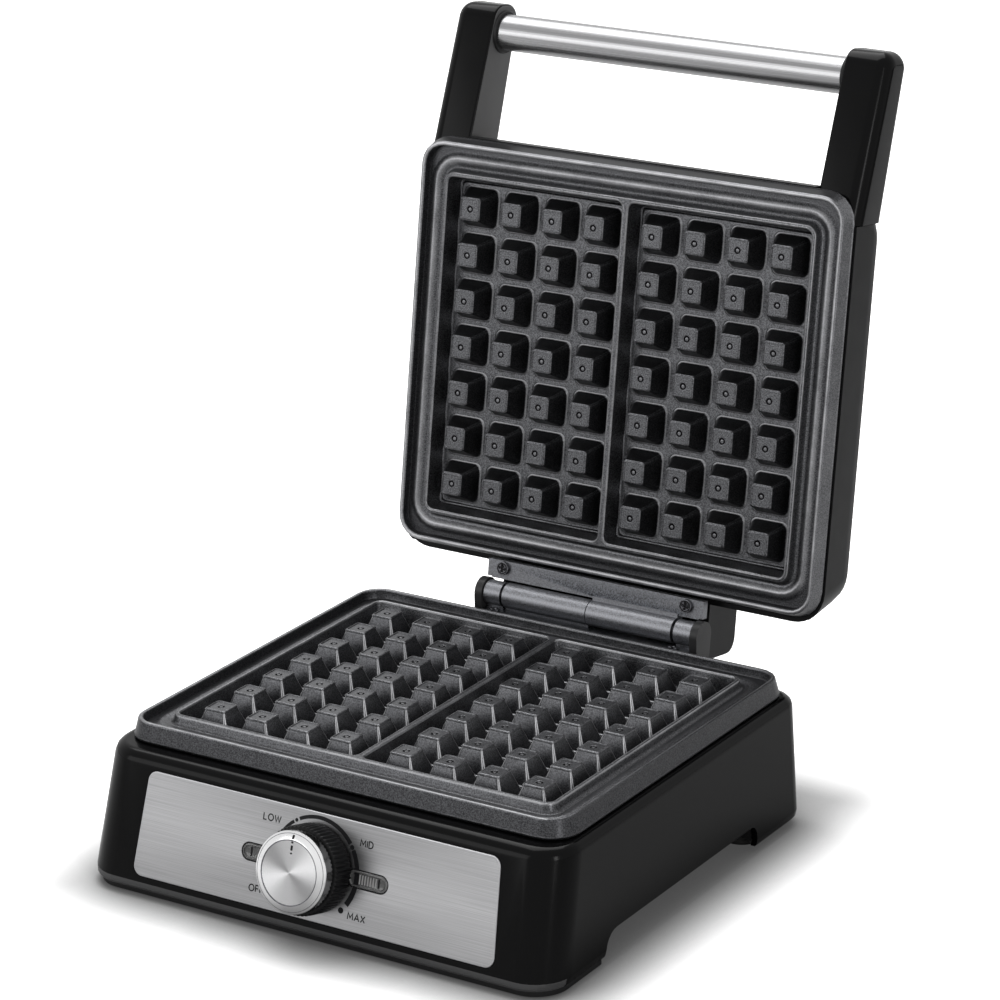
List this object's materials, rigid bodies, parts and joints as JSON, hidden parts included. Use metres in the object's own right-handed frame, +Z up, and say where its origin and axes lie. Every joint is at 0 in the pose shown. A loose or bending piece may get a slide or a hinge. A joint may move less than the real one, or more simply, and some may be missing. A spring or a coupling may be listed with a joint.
{
  "type": "waffle maker",
  "caption": "Countertop waffle maker with a hinged lid, rectangular grid plates, a bridge handle and a sloping control face with a rotary knob.",
  "frame": {"origin": "on the table under the middle of the appliance as it stands open", "axes": "+Z up, +X to the right seen from the front, +Y from the control face towards the hinge"},
  "size_m": [0.2494, 0.3498, 0.3444],
  "materials": {
    "gloss_black": "polished black moulding",
    "matte_black": "matt black moulding",
    "panel_steel": "brushed along its length",
    "bar_steel": "brushed tube",
    "plain_steel": "plain zinc plated",
    "dark_screw": "blackened",
    "spun_aluminium": "spun face with a polished edge",
    "zinc": "pressed and plated",
    "copper": "drawn copper",
    "clear_plastic": "clear and ribbed",
    "lamp_glass": "clear bulb",
    "nonstick": "satin non-stick coating with fine flecks",
    "cast_metal": "satin dark grey coating",
    "tray_aluminium": "bright pressed sheet",
    "rubber": "matt",
    "pale_plastic": "heat resistant, matt"
  },
  "bodies": {
    "base": {"base_shell": "gloss_black", "base_pan": "matte_black", "front_panel": "panel_steel", "thermostat": "zinc", "thermostat_nut": "plain_steel", "thermostat_bulb": "copper", "window_left": "clear_plastic", "window_right": "clear_plastic", "indicator_lamps": "lamp_glass", "lower_plate": "nonstick", "lower_element": "plain_steel", "lower_clamps": "cast_metal", "lower_reflector": "tray_aluminium", "plate_bolts": "plain_steel", "housing_screws": "plain_steel", "rubber_feet": "rubber", "cord_gland": "matte_black", "terminal_block": "pale_plastic", "thermal_fuse": "pale_plastic", "hinge_bracket": "cast_metal", "hinge_pin": "plain_steel", "bracket_screws": "dark_screw"},
    "knob": {"knob_skirt": "matte_black", "knob_cap": "spun_aluminium", "thermostat_shaft": "plain_steel"},
    "lid": {"hinge_leaf": "cast_metal", "leaf_screws": "dark_screw", "lid_shell": "gloss_black", "upper_plate": "nonstick", "upper_element": "plain_steel", "upper_clamps": "cast_metal", "upper_reflector": "tray_aluminium", "lid_bolts": "plain_steel", "lid_plugs": "gloss_black", "handle_arm_left": "gloss_black", "handle_arm_right": "gloss_black", "handle_bar": "bar_steel", "bar_collars": "matte_black", "arm_screws": "plain_steel"}
  },
  "joints": [
    {"name": "lid_hinge", "type": "hinge", "parent": "base", "child": "lid", "pos_m": [0, 0.0825, 0.0742], "axis": [1, 0, 0], "range_deg": [0, 99.1]},
    {"name": "knob_turn", "type": "hinge", "parent": "base", "child": "knob", "pos_m": [0, -0.15133, 0.03326], "axis": [0, 0.9655, -0.2605], "range_deg": [-115, 130]}
  ]
}
